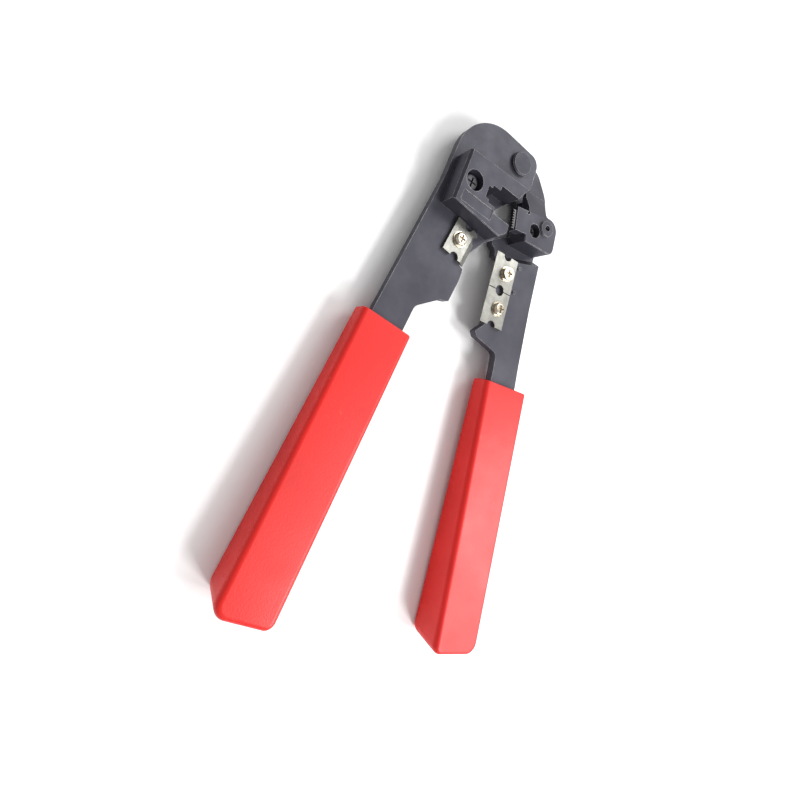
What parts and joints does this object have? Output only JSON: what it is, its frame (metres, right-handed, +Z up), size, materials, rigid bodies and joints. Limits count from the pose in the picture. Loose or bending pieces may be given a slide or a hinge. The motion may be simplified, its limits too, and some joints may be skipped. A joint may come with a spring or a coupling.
{
  "type": "modular plug crimping tool",
  "caption": "Hand crimping tool for modular network plugs: stepped plug nest and toothed punch on two pivoting steel arms, with stripping and cutting blades and red handle sleeves.",
  "frame": {"origin": "centre of the bounding box, on the plane the tool lies on", "axes": "+Z up out of the working face as the tool lies flat, +Y along the tool from the handles to the head, +X towards the moving arm"},
  "size_m": [0.0977, 0.1906, 0.015],
  "materials": {
    "black_steel": "matt black oxide",
    "black_steel_block": "matt black oxide",
    "black_fastener": "black oxide",
    "plain_steel": "ground",
    "tool_steel": "dark hardened",
    "blade_steel": "satin ground",
    "nickel": "bright nickel plate",
    "red_sleeve": "fine-grained soft PVC"
  },
  "bodies": {
    "fixed_arm": {"fixed_arm_plate": "black_steel", "fixed_handle_sleeve": "red_sleeve", "die_block": "black_steel_block", "die_screw": "black_fastener", "die_lock_washer": "black_fastener", "die_dowels": "plain_steel", "fixed_blade": "blade_steel", "fixed_blade_screw": "nickel", "fixed_blade_washer": "nickel", "pivot_rivet": "black_steel_block", "pivot_washer": "black_fastener", "pivot_spacer": "plain_steel"},
    "moving_arm": {"moving_arm_plate": "black_steel", "punch_block": "black_steel_block", "punch_screw": "black_fastener", "punch_lock_washer": "black_fastener", "punch_spring_pin": "black_fastener", "punch_dowels": "plain_steel", "contact_teeth": "tool_steel", "teeth_cross_pin": "plain_steel", "strain_relief_presser": "tool_steel", "stripping_blade": "blade_steel", "cutting_blade": "blade_steel", "moving_blade_screws": "nickel", "moving_blade_washers": "nickel", "moving_handle_sleeve": "red_sleeve"}
  },
  "joints": [
    {"name": "main_pivot", "type": "hinge", "parent": "fixed_arm", "child": "moving_arm", "pos_m": [0.00276, 0.08694, 0.00654], "axis": [0, 0, 1], "range_deg": [-13, 6]}
  ]
}
